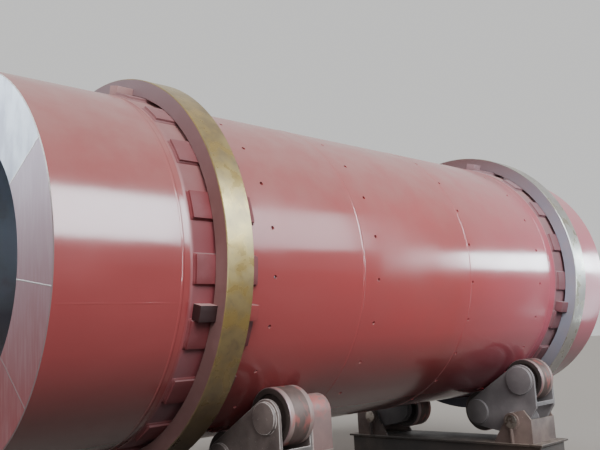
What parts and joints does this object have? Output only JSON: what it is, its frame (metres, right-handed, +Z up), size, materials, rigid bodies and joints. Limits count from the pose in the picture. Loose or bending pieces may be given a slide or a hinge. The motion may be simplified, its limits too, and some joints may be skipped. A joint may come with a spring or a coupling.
{
  "type": "rotary drum granulator",
  "caption": "Long welded steel granulator drum with end plates and two riding rings, lying on the paired rollers of two self-aligning turning rolls.",
  "frame": {"origin": "on the floor under the middle of the drum", "axes": "+X along the drum from its front end to its rear end, +Z up, -Y the right-hand side"},
  "size_m": [6.19, 2.679, 3.1595],
  "materials": {
    "red_primer": "gloss red oxide primer",
    "bare_plate": "bare plate with brushed streaks",
    "ring_steel": "greased, turned rolling face",
    "dark_steel": "old dark grey-brown paint",
    "frame_steel": "old dark brown paint",
    "tread_steel": "worn turned steel",
    "bright_steel": "turned steel"
  },
  "bodies": {
    "root": {"front_base_frame": "frame_steel", "front_right_bracket": "dark_steel", "front_right_pivot_pin": "bright_steel", "front_right_rocker": "dark_steel", "front_left_bracket": "dark_steel", "front_left_pivot_pin": "bright_steel", "front_left_rocker": "dark_steel", "rear_base_frame": "frame_steel", "rear_right_bracket": "dark_steel", "rear_right_pivot_pin": "bright_steel", "rear_right_rocker": "dark_steel", "rear_left_bracket": "dark_steel", "rear_left_pivot_pin": "bright_steel", "rear_left_rocker": "dark_steel", "front_right_reducer": "dark_steel", "front_left_reducer": "dark_steel"},
    "drum": {"shell_course_1": "red_primer", "shell_course_2": "red_primer", "shell_course_3": "red_primer", "shell_course_4": "red_primer", "shell_course_5": "red_primer", "front_end_plate": "bare_plate", "front_riding_ring": "ring_steel", "front_ring_pads": "red_primer", "front_ring_stops": "red_primer", "rear_end_plate": "bare_plate", "rear_riding_ring": "ring_steel", "rear_ring_pads": "red_primer", "rear_ring_stops": "red_primer"},
    "front_right_upper_roller": {"front_right_upper_roller": "tread_steel"},
    "front_right_lower_roller": {"front_right_lower_roller": "tread_steel"},
    "front_left_upper_roller": {"front_left_upper_roller": "tread_steel"},
    "front_left_lower_roller": {"front_left_lower_roller": "tread_steel"},
    "rear_right_upper_roller": {"rear_right_upper_roller": "tread_steel"},
    "rear_right_lower_roller": {"rear_right_lower_roller": "tread_steel"},
    "rear_left_upper_roller": {"rear_left_upper_roller": "tread_steel"},
    "rear_left_lower_roller": {"rear_left_lower_roller": "tread_steel"}
  },
  "joints": [
    {"name": "drum_spin", "type": "hinge", "parent": "root", "child": "drum", "pos_m": [0, 0, 1.82], "axis": [1, 0, 0], "continuous": true},
    {"name": "front_right_upper_roller_spin", "type": "hinge", "parent": "root", "child": "front_right_upper_roller", "pos_m": [-1.383, -0.94818, 0.8032], "axis": [1, 0, 0], "continuous": true},
    {"name": "front_right_lower_roller_spin", "type": "hinge", "parent": "root", "child": "front_right_lower_roller", "pos_m": [-1.383, -0.47551, 0.51355], "axis": [1, 0, 0], "continuous": true},
    {"name": "front_left_upper_roller_spin", "type": "hinge", "parent": "root", "child": "front_left_upper_roller", "pos_m": [-1.383, 0.94818, 0.8032], "axis": [1, 0, 0], "continuous": true},
    {"name": "front_left_lower_roller_spin", "type": "hinge", "parent": "root", "child": "front_left_lower_roller", "pos_m": [-1.383, 0.47551, 0.51355], "axis": [1, 0, 0], "continuous": true},
    {"name": "rear_right_upper_roller_spin", "type": "hinge", "parent": "root", "child": "rear_right_upper_roller", "pos_m": [1.818, -0.94818, 0.8032], "axis": [1, 0, 0], "continuous": true},
    {"name": "rear_right_lower_roller_spin", "type": "hinge", "parent": "root", "child": "rear_right_lower_roller", "pos_m": [1.818, -0.47551, 0.51355], "axis": [1, 0, 0], "continuous": true},
    {"name": "rear_left_upper_roller_spin", "type": "hinge", "parent": "root", "child": "rear_left_upper_roller", "pos_m": [1.818, 0.94818, 0.8032], "axis": [1, 0, 0], "continuous": true},
    {"name": "rear_left_lower_roller_spin", "type": "hinge", "parent": "root", "child": "rear_left_lower_roller", "pos_m": [1.818, 0.47551, 0.51355], "axis": [1, 0, 0], "continuous": true}
  ],
  "couplings": [
    {"joint": "front_right_upper_roller_spin", "follows": "drum_spin", "ratio": -6.3158},
    {"joint": "front_right_lower_roller_spin", "follows": "drum_spin", "ratio": -6.3158},
    {"joint": "front_left_upper_roller_spin", "follows": "drum_spin", "ratio": -6.3158},
    {"joint": "front_left_lower_roller_spin", "follows": "drum_spin", "ratio": -6.3158},
    {"joint": "rear_right_upper_roller_spin", "follows": "drum_spin", "ratio": -6.3158},
    {"joint": "rear_right_lower_roller_spin", "follows": "drum_spin", "ratio": -6.3158},
    {"joint": "rear_left_upper_roller_spin", "follows": "drum_spin", "ratio": -6.3158},
    {"joint": "rear_left_lower_roller_spin", "follows": "drum_spin", "ratio": -6.3158}
  ]
}
